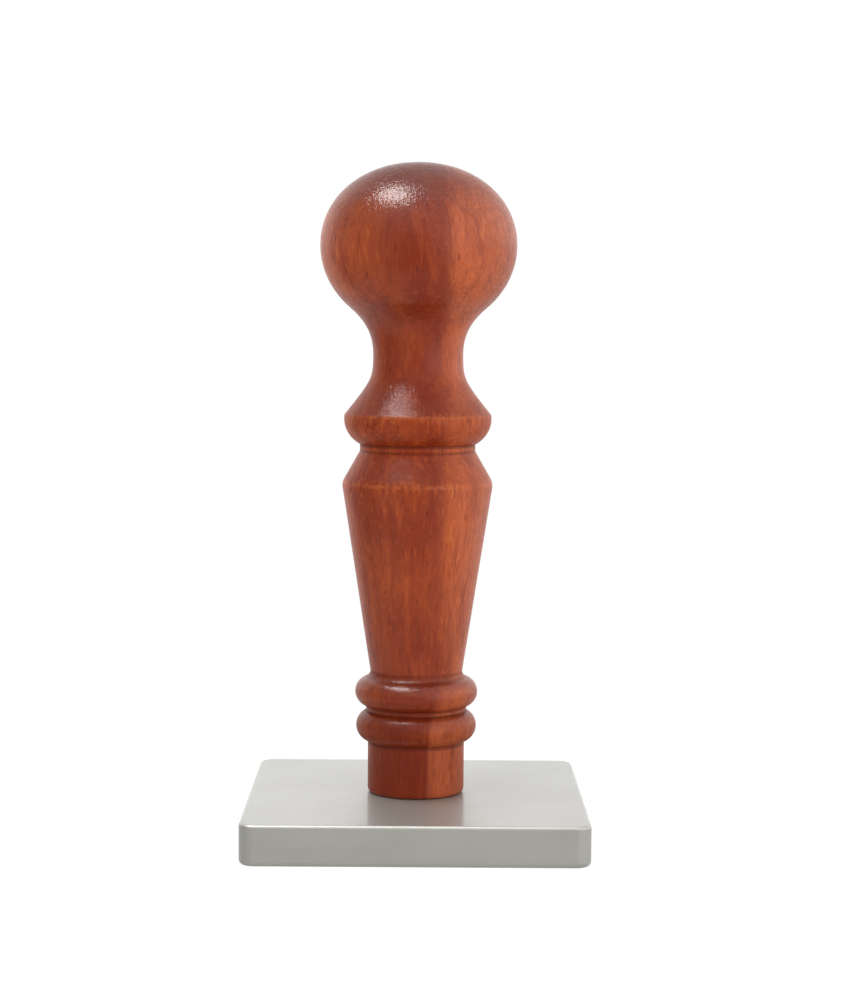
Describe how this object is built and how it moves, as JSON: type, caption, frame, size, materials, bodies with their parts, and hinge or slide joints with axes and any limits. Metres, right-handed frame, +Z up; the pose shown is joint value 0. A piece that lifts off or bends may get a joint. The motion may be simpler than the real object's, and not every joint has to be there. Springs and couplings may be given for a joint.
{
  "type": "wax seal stamp",
  "caption": "Wax seal stamp with a turned hardwood handle that screws onto a square engraved metal seal plate.",
  "frame": {"origin": "middle of the seal plate's engraved underside, on which the stamp stands", "axes": "+Z up along the handle's axis, X and Y along the plate's sides, with -Y towards the viewer of the picture"},
  "size_m": [0.04, 0.04, 0.0802],
  "materials": {
    "plate_metal": "satin",
    "stud_steel": "zinc plated",
    "lacquered_wood": "semi-gloss lacquer",
    "insert_brass": "machined"
  },
  "bodies": {
    "plate": {"seal_plate": "plate_metal"},
    "stud": {"threaded_stud": "stud_steel"},
    "handle": {"wood_handle": "lacquered_wood", "threaded_insert": "insert_brass"}
  },
  "joints": [
    {"name": "handle_turn", "type": "hinge", "parent": "plate", "child": "stud", "pos_m": [0, 0, 0.0048], "axis": [0, 0, 1], "range_deg": [0, 2880]},
    {"name": "handle_lift", "type": "slide", "parent": "stud", "child": "handle", "axis": [0, 0, 1], "range_m": [0, 0.008]}
  ],
  "couplings": [
    {"joint": "handle_lift", "follows": "handle_turn", "m_per_rad": 0.00015915}
  ]
}
